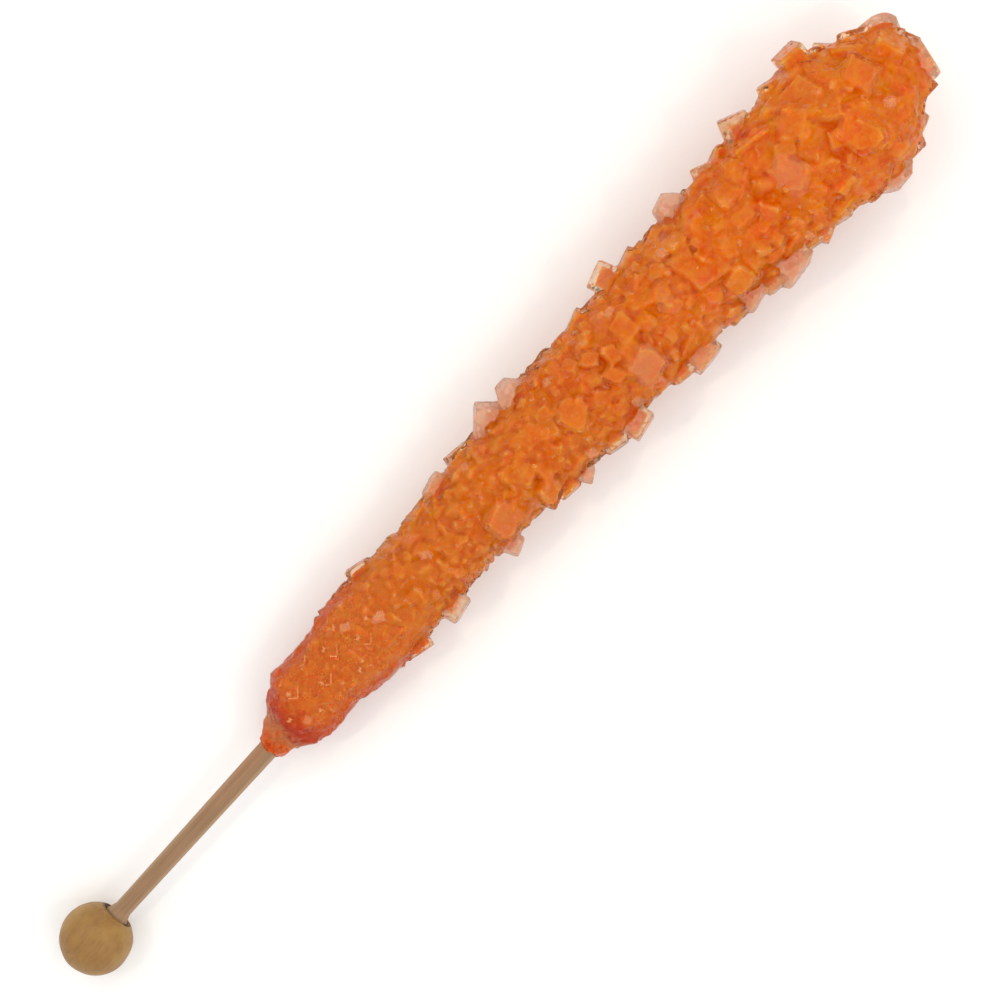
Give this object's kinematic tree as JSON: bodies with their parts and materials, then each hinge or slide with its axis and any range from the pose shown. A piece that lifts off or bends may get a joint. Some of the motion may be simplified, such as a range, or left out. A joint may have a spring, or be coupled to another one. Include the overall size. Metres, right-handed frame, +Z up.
{
  "type": "rock candy stick",
  "caption": "Ball-ended wooden stick with a long crust of orange sugar crystals, thin at the handle and swelling to a knobbly head, lying on its side.",
  "frame": {"origin": "on the surface it lies on, under the centre of its bounding box", "axes": "+X along the stick, from the ball to the candy's head; +Z up, away from the surface; +Y to the left, seen from the ball"},
  "size_m": [0.1882, 0.0274, 0.0252],
  "materials": {
    "ball_wood": "smooth turned ball, satin, with a faint lacquer",
    "dowel_wood": "bare matt dowel with fine straight grain",
    "sugar": "glossy translucent orange sugar crystals, paler and clearer at the edges"
  },
  "bodies": {
    "root": {"ball": "ball_wood", "dowel": "dowel_wood", "candy": "sugar"}
  },
  "joints": []
}
